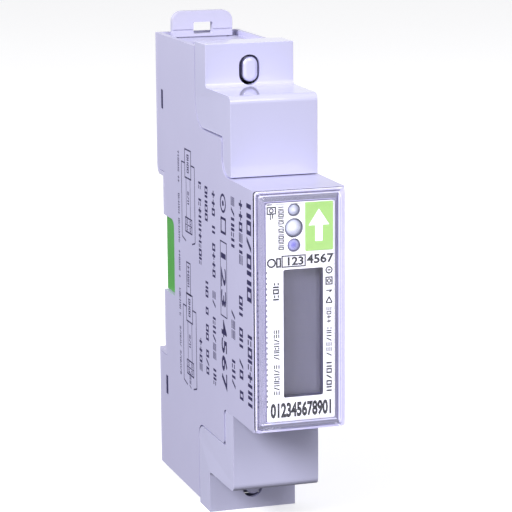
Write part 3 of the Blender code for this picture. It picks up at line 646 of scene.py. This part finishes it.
# %% Rows of plain signs
BOX = [rectangle(0, 0, 0.27, 1), rectangle(0.59, 0, 0.86, 1), rectangle(0.27, 0, 0.59, 0.2),
       rectangle(0.27, 0.8, 0.59, 1)]
PAIR = [rectangle(0, 0, 0.28, 1), rectangle(0.58, 0, 0.86, 1)]
PLUS = [rectangle(0.29, 0, 0.57, 1), rectangle(0, 0.4, 0.29, 0.62), rectangle(0.57, 0.4, 0.86, 0.62)]
SLASH = [[(0, 0), (0.3, 0), (0.86, 1), (0.56, 1)]]
STACK = [rectangle(0, 0, 0.86, 0.2), rectangle(0, 0.4, 0.86, 0.6), rectangle(0, 0.8, 0.86, 1)]
POST = [rectangle(0, 0, 0.28, 1), rectangle(0.42, 0, 0.86, 0.22), rectangle(0.42, 0.6, 0.86, 0.82)]
SIGNS = (BOX, POST, PAIR, STACK, PLUS, SLASH, BOX)


def sign_row(length, height, pitch, seed=0, gaps=()):
    """Outlines of a row of signs along the first axis, with empty places at the counts in gaps."""
    made = []
    for i in range(int(length / pitch)):
        if i in gaps:
            continue
        for outline in SIGNS[(i * i + 3 * i * seed + 2 * seed) % len(SIGNS)]:
            made.append([((i + a) * pitch, b * height) for a, b in outline])
    return made


def turned_down(outlines, baseline, top):
    """A row drawn along the first axis, turned to read downwards from top, its feet on baseline."""
    return [[(baseline + b, top - a) for a, b in outline] for outline in outlines]


def turned_up(outlines, baseline, bottom):
    """A row turned to read upwards from bottom."""
    return [[(baseline - b, bottom + a) for a, b in outline] for outline in outlines]


print("signs:", len(SIGNS))

# %% [markdown]
# ## The print on the side
# The left wall carries the heavy block of print: a bold line nearest the front, smaller lines behind
# it, and a wiring diagram at the back. Each line is given by where its feet stand, where it starts and
# ends, how tall it is and how wide one sign is. All are in millimetres on the wall.

# %% Lines of print on the left wall
SIDE_LINES = (  # feet, top, bottom, height, pitch, seed, gaps
    (60.5, 19.8, 1.2, 2.7, 3.1, 1, ()),
    (60.7, -4.6, -18.6, 2.6, 2.3, 4, ()),
    (55.9, 19.7, 7.2, 2.0, 2.05, 2, ()),
    (55.6, 1.7, -18.4, 2.2, 2.0, 3, (2, 5, 8)),
    (51.0, 19.5, 9.3, 2.0, 1.95, 5, ()),
    (50.8, -2.0, -18.4, 2.1, 1.9, 6, (3, 4)),
    (38.7, 18.7, 1.6, 1.9, 1.7, 2, (3, 5)),
    (38.6, -0.8, -19.6, 1.9, 1.7, 5, (2, 8)),
    (34.0, 18.8, 11.4, 1.8, 1.75, 3, ()),
    (33.9, 0.2, -19.6, 1.8, 1.7, 1, (2, 4, 7)),
    (29.7, 19.0, 2.2, 1.8, 1.65, 4, (1,)),
    (29.3, -12.0, -19.0, 1.8, 1.7, 2, ()),
)
side_marks = []
for feet, top, bottom, height, pitch, seed, gaps in SIDE_LINES:
    side_marks += turned_down(sign_row(top - bottom, height, pitch, seed, gaps), feet, top)
lay_ink_and_painted_light("side_print_lines", side_marks, on_left(SIDE_FACE), navy_ink_and_painted_light)

# %% [markdown]
# In the middle stands a row of taller marks: a ring with a dot, a hollow square, and two lots of counting
# digits, the first in a frame. The digits come from a text object, which Blender can extrude to the ink's
# thickness, and a count from one up says nothing about the maker. A digit is 0.73 as tall as its font.

# %% Tall marks on the left wall
tall = ring(45.9, 17.3, 1.6, 0.5) + [disc(45.9, 17.3, 0.55)]
tall += frame_of(44.6, 11.7, 47.4, 14.4, 0.5)
tall += frame_of(44.0, -4.4, 47.9, 9.9, 0.26)
lay_ink_and_painted_light("side_print_tall", tall, on_left(SIDE_FACE), navy_ink_and_painted_light)
DIGIT_SHARE = 0.73


def counting_digits(name, text, height, place, turn, ink, squeeze, bold):
    """A row of digits as an extruded text object, its first foot at place and as tall as height."""
    curve = bpy.data.curves.new(name, "FONT")
    curve.body = text
    curve.size = height * MM / DIGIT_SHARE
    curve.offset = bold * MM
    curve.extrude = INK * MM
    curve.resolution_u = 3
    curve.materials.append(ink)
    piece = bpy.data.objects.new(name, curve)
    bpy.context.scene.collection.objects.link(piece)
    piece.rotation_mode = "QUATERNION"
    piece.rotation_quaternion = turn
    piece.scale = (squeeze, 1, 1)
    piece.location = place
    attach(piece, "meter")
    print(name, text)


FACING_FRONT = Quaternion((1, 0, 0), math.radians(90))
FACING_LEFT = Quaternion((0, 0, 1), math.radians(-90)) @ FACING_FRONT
READING_DOWN = FACING_LEFT @ Quaternion((0, 0, 1), math.radians(-90))
counting_digits("side_digits_framed", "123", 3.1, spot(SIDE_FACE, 44.4, 9.3), READING_DOWN,
                navy_ink_and_painted_light, squeeze=1.95, bold=0.06)
counting_digits("side_digits_row", "4567", 3.3, spot(SIDE_FACE, 44.4, -5.2), READING_DOWN,
                navy_ink_and_painted_light, squeeze=1.48, bold=0.09)

# %% [markdown]
# The wiring diagram shows the meter as boxes, with the supply lines looping past them and small rings
# for the terminals. This one is a general diagram of a two-wire meter, drawn twice, with strokes of a
# third of a millimetre. A column of very small print runs beside it.

# %% Wiring diagram
diagram = []
for top in (24.0, -4.9):
    end = top - (17.8 if top > 0 else 18.2)
    diagram += frame_of(20.4, top - 5.6, 24.6, top, 0.3)
    diagram += [bar(18.0, top - 2.8, 18.0, end, 0.28), bar(18.0, top - 2.8, 20.4, top - 2.8, 0.28)]
    diagram += [bar(27.1, top - 2.8, 27.1, end, 0.28), bar(24.6, top - 2.8, 27.1, top - 2.8, 0.28)]
    diagram += [bar(across, top - 5.6, across, top - 13.6, 0.22) for across in (21.2, 24.0)]
    diagram += frame_of(20.4, top - 16.4, 25.0, top - 13.6, 0.3)
    diagram += [bar(20.4, top - 15.0, 25.0, top - 15.0, 0.22), bar(18.0, end, 20.6, end - 0.6, 0.3)]
    diagram += [bar(24.9, end - 0.6, 27.1, end, 0.3)]
    for across in (21.6, 23.8):
        for drop in (14.3, 15.7):
            diagram += ring(across, top - drop, 0.38, 0.2, sides=12)
    diagram += turned_down(sign_row(4.0, 1.3, 0.95, 3), 21.8, top - 0.9)
    diagram += turned_down(sign_row(3.2, 1.1, 0.9, 5), 22.0, top - 8.2)
diagram += frame_of(20.8, -5.0, 23.4, 1.4, 0.3) + turned_down(sign_row(5.0, 1.2, 0.9, 2), 21.4, 0.9)
diagram += turned_down(sign_row(3.6, 1.1, 0.9, 6), 22.0, -20.6)
for top, bottom in ((23.0, 15.9), (14.4, 4.0), (2.9, -3.4), (-4.9, -11.1), (-12.7, -23.3)):
    diagram += turned_down(sign_row(top - bottom, 1.0, 0.72, int(abs(top)), (6,)), 15.3, top)
lay_ink_and_painted_light("side_print_diagram", diagram, on_left(SIDE_FACE), navy_ink_and_painted_light)

# %% [markdown]
# ## The print on the label
# The label is laid out round the display: a small framed sign and a line reading upwards beside the
# optical parts, a row of marks above the display, lines reading upwards down both margins, and a long
# count of digits at the foot. A hairline with a short dash closes it at the top.

# %% Label print
front = frame_of(-6.2, 18.2, -4.65, 19.4, 0.24) + ring(-5.42, 18.8, 0.36, 0.22, sides=16)
front += [bar(-5.62, 18.1, -5.62, 17.1, 0.22), bar(-5.2, 18.1, -5.2, 17.3, 0.22)]
front += turned_up(sign_row(8.1, 1.05, 0.67, 3), -3.05, 11.5)
front += ring(-5.45, 9.15, 0.72, 0.32, sides=20) + frame_of(-4.42, 8.4, -3.75, 9.9, 0.3)
front += frame_of(-3.4, 8.3, 1.0, 10.3, 0.24)
front += turned_up(sign_row(3.5, 1.15, 1.15, 4), -4.05, 2.2)
front += turned_up(sign_row(12.3, 1.1, 0.82, 5, (7,)), -4.0, -15.5)
front += turned_up(sign_row(3.2, 0.95, 0.78, 2), 6.05, -2.7)
front += turned_up(sign_row(5.7, 1.0, 0.94, 6), 6.08, -9.0)
front += turned_up(sign_row(5.75, 1.05, 1.14, 1), 6.12, -15.6)
front += ring(5.6, 7.2, 0.58, 0.26, sides=18) + [bar(5.3, 7.2, 5.9, 7.2, 0.26)]
front += frame_of(5.02, 4.55, 6.18, 5.85, 0.25) + ring(5.6, 5.2, 0.32, 0.22, sides=14)
front += [bar(5.05, 3.4, 6.15, 3.4, 0.24), bar(5.65, 3.05, 6.15, 3.4, 0.24)]
front += [bar(5.0, 1.1, 6.2, 1.1, 0.26), bar(5.0, 1.1, 5.6, 2.2, 0.26), bar(6.2, 1.1, 5.6, 2.2, 0.26)]
front += [rectangle(-6.35, 19.78, -5.3, 20.0), bar(-5.2, 19.86, 6.35, 19.86, 0.08)]
lay_ink_and_painted_light("label_print", front, on_front(LABEL_FACE), black_ink)
counting_digits("label_digits_framed", "123", 1.5, spot(-2.75, LABEL_FACE, 8.6), FACING_FRONT,
                black_ink, squeeze=1.15, bold=0.07)
counting_digits("label_digits_row", "4567", 1.65, spot(1.35, LABEL_FACE, 8.7), FACING_FRONT,
                black_ink, squeeze=1.12, bold=0.07)
counting_digits("label_digits_count", "012345678901", 2.6, spot(-5.75, LABEL_FACE, -19.7), FACING_FRONT,
                black_ink, squeeze=0.565, bold=0.16)

# %% [markdown]
# Down the label's left edge runs a scale of little ticks, 1 mm apart. It starts level with the top of
# the display. The clear rim bends its image, so the same ticks show once more beside the edge; that second
# row is a painted image of the ticks on the case's front, and it stands a little higher than the bands
# that are laid on the same face below.

# %% Edge ticks
TOP_TICK, TICK_COUNT = 7.4, 26
PAINTED_TICK_IMAGE_LIFT = 0.03
tick_heights = [TOP_TICK - i for i in range(TICK_COUNT)]
ticks = [rectangle(-6.44, z - 0.22, -6.26, z + 0.22) for z in tick_heights]
lay_ink_and_painted_light("label_edge_ticks", ticks, on_front(LABEL_FACE), black_ink)
painted_tick_image = [rectangle(-7.82, z - 0.2, -7.6, z + 0.2) for z in tick_heights]
lay_ink_and_painted_light("rim_painted_tick_image", painted_tick_image, on_front(FRONT_FACE), navy_ink_and_painted_light,
        thickness=PAINTED_TICK_IMAGE_LIFT)

# %% [markdown]
# The sticker's arrow points up, the way the meter's energy is counted. It is one outline of seven
# corners, in opaque white ink.

# %% Sticker arrow
sticker_low, sticker_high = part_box("arrow_sticker")
STICKER_FACE = (REAR - sticker_low.y) / MM
ARROW = [(3.62, 18.7), (5.6, 15.7), (4.32, 15.7), (4.32, 12.75), (2.92, 12.75), (2.92, 15.7),
         (1.64, 15.7)]
lay_ink_and_painted_light("sticker_arrow", [ARROW], on_front(STICKER_FACE), white_ink)

# %% [markdown]
# ## The window's rim
# Seen through the clear cap's sloping rim, the case and the label show as lines: dark, bright and grey in
# between. These are painted light and shade: thin bands of painted shade, painted highlight and greys,
# laid on the case's front under the cap. Each tone of band gets its own material of the same plastic.

# %% Rim materials: painted light and shade
painted_rim_shade, shader = start_material("rim_refraction_painted_shade", "#4A4568", 0.35, IOR=1.58)
tone(painted_rim_shade, shader, "#443F60", "#544F74", 3)
painted_rim_grey, shader = start_material("rim_refraction_painted_grey", "#6F6F7E", 0.3, IOR=1.58)
tone(painted_rim_grey, shader, "#6A6A79", "#767686", 3)
painted_rim_lavender, shader = start_material("rim_refraction_painted_lavender", "#87859A", 0.3, IOR=1.58)
tone(painted_rim_lavender, shader, "#828096", "#8D8BA1", 3)
painted_rim_violet, shader = start_material("rim_refraction_painted_violet", "#5C577B", 0.3, IOR=1.58)
tone(painted_rim_violet, shader, "#565175", "#645F84", 3)
painted_rim_pale, shader = start_material("rim_refraction_painted_pale", "#AFADC4", 0.3, IOR=1.58)
tone(painted_rim_pale, shader, "#AAA8C0", "#B6B4CA", 3)
painted_rim_highlight, shader = start_material("rim_refraction_painted_highlight", "#DEDCF0", 0.2, IOR=1.58)
tone(painted_rim_highlight, shader, "#D9D7EC", "#E4E3F4", 3)

# %% [markdown]
# The painted lines are thin flat bands on the case's front, mitred where two sides meet. A band is given
# by its side and by two shares of the way from the label's edge out to the cap's. The cap reaches as far
# below the middle as above it, so one height serves both ends. No band goes past 0.88 of the way, where
# the cap's corners are round.

# %% Painted rim bands
BAND_LIFT = 0.02
window_half = window_high.x / MM
window_top = (window_high.z - MIDDLE) / MM
label_right = label_high.x / MM
label_bottom, label_top = (label_low.z - MIDDLE) / MM, (label_high.z - MIDDLE) / MM


def rim_corner(share, right, top):
    """A corner of the frame that lies this share of the way out from the label."""
    a = label_right + share * (window_half - label_right)
    b = label_top + share * (window_top - label_top)
    c = label_bottom - share * (window_top + label_bottom)
    return (a if right else -a, b if top else c)


# A side's two corners, each as: is it on the right, is it at the top.
SIDES = {"left": ((False, False), (False, True)), "right": ((True, False), (True, True)),
         "top": ((False, True), (True, True)), "bottom": ((False, False), (True, False))}


def rim_band(side, inner, outer):
    """A mitred band on one side, between two shares."""
    one, two = SIDES[side]
    return [rim_corner(share, *corner)
            for share, corner in ((inner, one), (inner, two), (outer, two), (outer, one))]


# Painted shade, painted highlights and the greys between them, listed as bands on each side.
PAINTED_RIM_LIGHT_BANDS = {
    "shaded": (painted_rim_shade, (("left", 0.02, 0.09), ("left", 0.52, 0.6), ("top", 0.03, 0.1),
                           ("top", 0.56, 0.66), ("right", 0.05, 0.13), ("bottom", 0.1, 0.18),
                           ("bottom", 0.62, 0.7))),
    "grey": (painted_rim_grey, (("top", 0.14, 0.42), ("right", 0.16, 0.24), ("bottom", 0.34, 0.6))),
    "lavender": (painted_rim_lavender, (("left", 0.11, 0.5), ("left", 0.62, 0.7), ("top", 0.5, 0.54))),
    "violet": (painted_rim_violet, (("right", 0.26, 0.46),)),
    "pale": (painted_rim_pale, (("right", 0.56, 0.88), ("top", 0.68, 0.74), ("bottom", 0.72, 0.88))),
    "bright": (painted_rim_highlight, (("left", 0.72, 0.88), ("top", 0.44, 0.49), ("top", 0.76, 0.88),
                            ("right", 0.48, 0.54), ("bottom", 0.22, 0.3))),
}
for name, (finish, bands) in PAINTED_RIM_LIGHT_BANDS.items():
    lay_ink_and_painted_light(f"rim_painted_light_bands_{name}", [rim_band(*band) for band in bands], on_front(FRONT_FACE), finish,
            thickness=BAND_LIFT)

# %% [markdown]
# The display lies in a well behind the label. Its walls are lined in dark navy, partly the walls' own
# dark colour and partly painted shade for the deep well, so from the left the right-hand wall shows as a
# deep navy edge. The glass reaches further than the opening, by `GLASS_BEYOND` at the sides and at the
# ends. The wall starts just off the glass and stops short of the label's face.

# %% Display well, dark and in painted shade
well_lining_and_shade, shader = start_material("abs_moulded_navy_and_painted_shade", "#1A173C", 0.3, IOR=1.54)
tone(well_lining_and_shade, shader, "#161336", "#221E48", 2)
relief(well_lining_and_shade, shader, 0.3, 0.004, 0.3)
glass_low, glass_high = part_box("lcd_glass")
GLASS_FACE = (REAR - glass_low.y) / MM
GLASS_BEYOND = (1.0, 1.4)
WELL_WALL, WELL_OFF_GLASS, WELL_BELOW_LABEL = 0.14, 0.03, 0.4
side_wall, end_wall = [beyond - WELL_WALL / 2 for beyond in GLASS_BEYOND]
well = frame_of(glass_low.x / MM + side_wall, (glass_low.z - MIDDLE) / MM + end_wall,
                glass_high.x / MM - side_wall, (glass_high.z - MIDDLE) / MM - end_wall, WELL_WALL)
lay_ink_and_painted_light("display_well_dark_and_shaded", well, on_front(GLASS_FACE + WELL_OFF_GLASS), well_lining_and_shade,
        thickness=LABEL_FACE - WELL_BELOW_LABEL - GLASS_FACE)

# %% [markdown]
# The two halves of the case snap together. Each hook sits in a slit in the side wall. A dark plate just
# under the surface is painted shade for the deep, dark gap round the hook, in the navy ink's material.

# %% Snap slits, painted shade
SLIT_DEPTH, SLIT_SHADE_PLATE = 0.1, 0.04
slits = [rectangle(3.65, 29.95, 5.05, 33.75), rectangle(4.45, -29.35, 5.95, -25.45)]
lay_ink_and_painted_light("snap_slits_painted_shade_left", slits, on_left(SIDE_FACE + SLIT_DEPTH), navy_ink_and_painted_light,
        thickness=SLIT_SHADE_PLATE)
lay_ink_and_painted_light("snap_slits_painted_shade_right", slits, on_right(-SIDE_FACE - SLIT_DEPTH), navy_ink_and_painted_light,
        thickness=SLIT_SHADE_PLATE)

# %% [markdown]
# ## The display when it is off
# Even switched off, a liquid-crystal display shows its segments as faint ghosts when light rakes over
# it. They are slim bars a shade darker than the glass, set in a row of figures that reads upwards.

# %% Ghost segments
ghost, shader = start_material("liquid_crystal_segment_off", "#565567", 0.06, IOR=1.52)
tone(ghost, shader, "#545365", "#595869", 1.5)
SEGMENT_WIDTH, SEGMENT_GAP = 0.26, 0.12


def ghost_figure(foot, bottom, width, height):
    """Seven short bars of one figure that reads upwards, its feet on the right at foot."""
    half = SEGMENT_WIDTH / 2
    across = [foot, foot - height / 2, foot - height]
    upright = [rectangle(a - half, bottom + SEGMENT_GAP, a + half, bottom + width - SEGMENT_GAP)
               for a in across]
    flat = [rectangle(across[i + 1] + SEGMENT_GAP, b - half, across[i] - SEGMENT_GAP, b + half)
            for i in (0, 1) for b in (bottom, bottom + width)]
    return upright + flat


FIGURES, FIRST_FIGURE, FIGURE_PITCH = 6, -14.6, 2.7
ghosts = []
for i in range(FIGURES):
    ghosts += ghost_figure(3.0, FIRST_FIGURE + FIGURE_PITCH * i, 1.6, 3.6)
lay_ink_and_painted_light("display_ghost_segments", ghosts, on_front(GLASS_FACE), ghost)

# %% [markdown]
# ## Camera
# A long lens from the left and a little above shows the side with its print and the narrow front at
# once, with hardly any perspective. The camera leans by less than half a degree.

# %% Camera
CAMERA_PLACE = (-0.1377, -0.4649, 0.0968)
CAMERA_AIM = Vector((0.29873, 0.93436, -0.19423))
CAMERA_LEAN = math.radians(-0.41)
camera_data = bpy.data.cameras.new("camera")
camera_data.lens = 168.75
camera_data.sensor_width = 36.0
camera_data.clip_start = 0.01
camera = bpy.data.objects.new("camera", camera_data)
bpy.context.scene.collection.objects.link(camera)
camera.rotation_mode = "QUATERNION"
camera.rotation_quaternion = CAMERA_AIM.to_track_quat("-Z", "Y") @ Quaternion((0, 0, 1), CAMERA_LEAN)
camera.location = CAMERA_PLACE
bpy.context.scene.camera = camera
print("camera lens", camera_data.lens, "mm")

# %% [markdown]
# ## Studio
# The surround is brightest at the horizon, softer overhead and dim below, so the faces under the
# overhangs fall into shade. A soft lamp to the left gives the meter its shape, a weaker one fills the
# front, and a faint one lights the right side. The floor is a sheet of white acrylic, lit a little from
# below as on a product table. It is kept out of the meter's bounced light and reflections, which would
# wash out that shade. The Standard view transform keeps the greys as light as they are.

# %% Studio
scene = bpy.context.scene
scene.view_settings.view_transform = "Standard"
world = bpy.data.worlds.new("studio")
world.use_nodes = True
background = world.node_tree.nodes["Background"]
background.inputs["Color"].default_value = (1.0, 1.0, 1.0, 1.0)
direction = add_node(world, "ShaderNodeTexCoord")
axes = add_node(world, "ShaderNodeSeparateXYZ", {}, {"Vector": direction.outputs["Generated"]})
horizon = add_node(world, "ShaderNodeMapRange",
                   {"From Min": -0.12, "From Max": 0.02, "To Min": 0.1, "To Max": 1.0},
                   {"Value": axes.outputs["Z"]})
zenith = add_node(world, "ShaderNodeMapRange",
                  {"From Min": 0.1, "From Max": 0.8, "To Min": 1.0, "To Max": 0.3},
                  {"Value": axes.outputs["Z"]})
both = add_node(world, "ShaderNodeMath", {"operation": "MULTIPLY"},
                {0: horizon.outputs["Result"], 1: zenith.outputs["Result"]})
world.node_tree.links.new(both.outputs["Value"], background.inputs["Strength"])
scene.world = world


def soft_lamp(name, place, target, size, watts):
    """A square area lamp that looks at a point."""
    lamp_data = bpy.data.lights.new(name, "AREA")
    lamp_data.shape = "SQUARE"
    lamp_data.size = size
    lamp_data.energy = watts
    lamp = bpy.data.objects.new(name, lamp_data)
    scene.collection.objects.link(lamp)
    lamp.location = place
    lamp.rotation_mode = "QUATERNION"
    lamp.rotation_quaternion = (Vector(target) - Vector(place)).to_track_quat("-Z", "Y")
    print(name, watts, "W")


METER_FRONT = (0, -0.03, 0)
soft_lamp("key_lamp", (-0.55, -0.36, 0.42), METER_FRONT, 0.3, 6.0)
soft_lamp("fill_lamp", (0.1, -0.8, 0.55), METER_FRONT, 0.4, 1.9)
soft_lamp("side_lamp", (0.7, -0.1, 0.35), METER_FRONT, 0.4, 1.0)

FLOOR_REACH = 4
floor_mesh = bpy.data.meshes.new("studio_floor")
below = cad_box[0][2]
floor_mesh.from_pydata([(a * FLOOR_REACH, b * FLOOR_REACH, below)
                        for a, b in ((-1, -1), (1, -1), (1, 1), (-1, 1))], [], [(0, 1, 2, 3)])
floor = bpy.data.objects.new("studio_floor", floor_mesh)
scene.collection.objects.link(floor)
floor_paint, shader = start_material("acrylic_sheet_backlit", "#FAFAFC", 0.9, IOR=1.49)
tone(floor_paint, shader, "#F8F8FB", "#FCFCFE", 300)
shader.inputs["Emission Color"].default_value = (1.0, 1.0, 1.0, 1.0)
shader.inputs["Emission Strength"].default_value = 0.4
floor_mesh.materials.append(floor_paint)
floor.visible_diffuse = False
floor.visible_glossy = False
